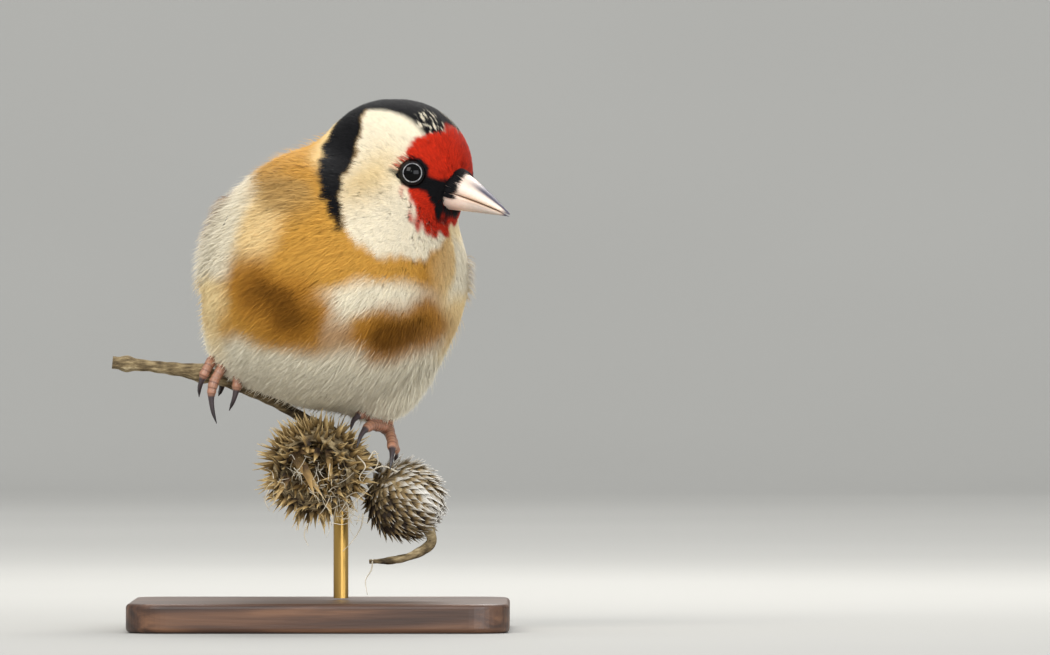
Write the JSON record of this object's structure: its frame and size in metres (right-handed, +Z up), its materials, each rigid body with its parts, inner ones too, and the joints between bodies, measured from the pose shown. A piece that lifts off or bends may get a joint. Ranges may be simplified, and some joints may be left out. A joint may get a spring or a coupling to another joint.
{
  "type": "european goldfinch",
  "caption": "Small finch with a conical bill, folded wings and a straight tail, still on a cut thistle stem with dry seed heads, held by a rod on a flat base.",
  "frame": {"origin": "centre of the stand's underside", "axes": "+Z up, the bird's breast faces -Y, its head is turned towards +X, its tail points to +Y"},
  "size_m": [0.0691, 0.115, 0.0921],
  "materials": {
    "plumage_white": "soft, matt",
    "plumage_buff": "soft, matt",
    "flight_feathers": "satin, close vanes",
    "bill_horn": "smooth horn, dusky tip",
    "eye": "wet gloss",
    "leg_scales": "satin scales",
    "thistle": "dry, matt",
    "stand_wood": "waxed",
    "stand_metal": "brushed"
  },
  "bodies": {
    "root": {"head": "plumage_white", "neck": "plumage_buff", "torso": "plumage_buff", "bill_upper": "bill_horn", "bill_lower": "bill_horn", "eye_left": "eye", "eye_right": "eye", "wing_left": "flight_feathers", "wing_right": "flight_feathers", "tail": "flight_feathers", "leg_left": "leg_scales", "leg_right": "leg_scales", "foot_left": "leg_scales", "foot_right": "leg_scales", "perch_stem": "thistle", "perch_head_a": "thistle", "perch_head_b": "thistle", "stand_rod": "stand_metal", "stand_base": "stand_wood"}
  },
  "joints": []
}
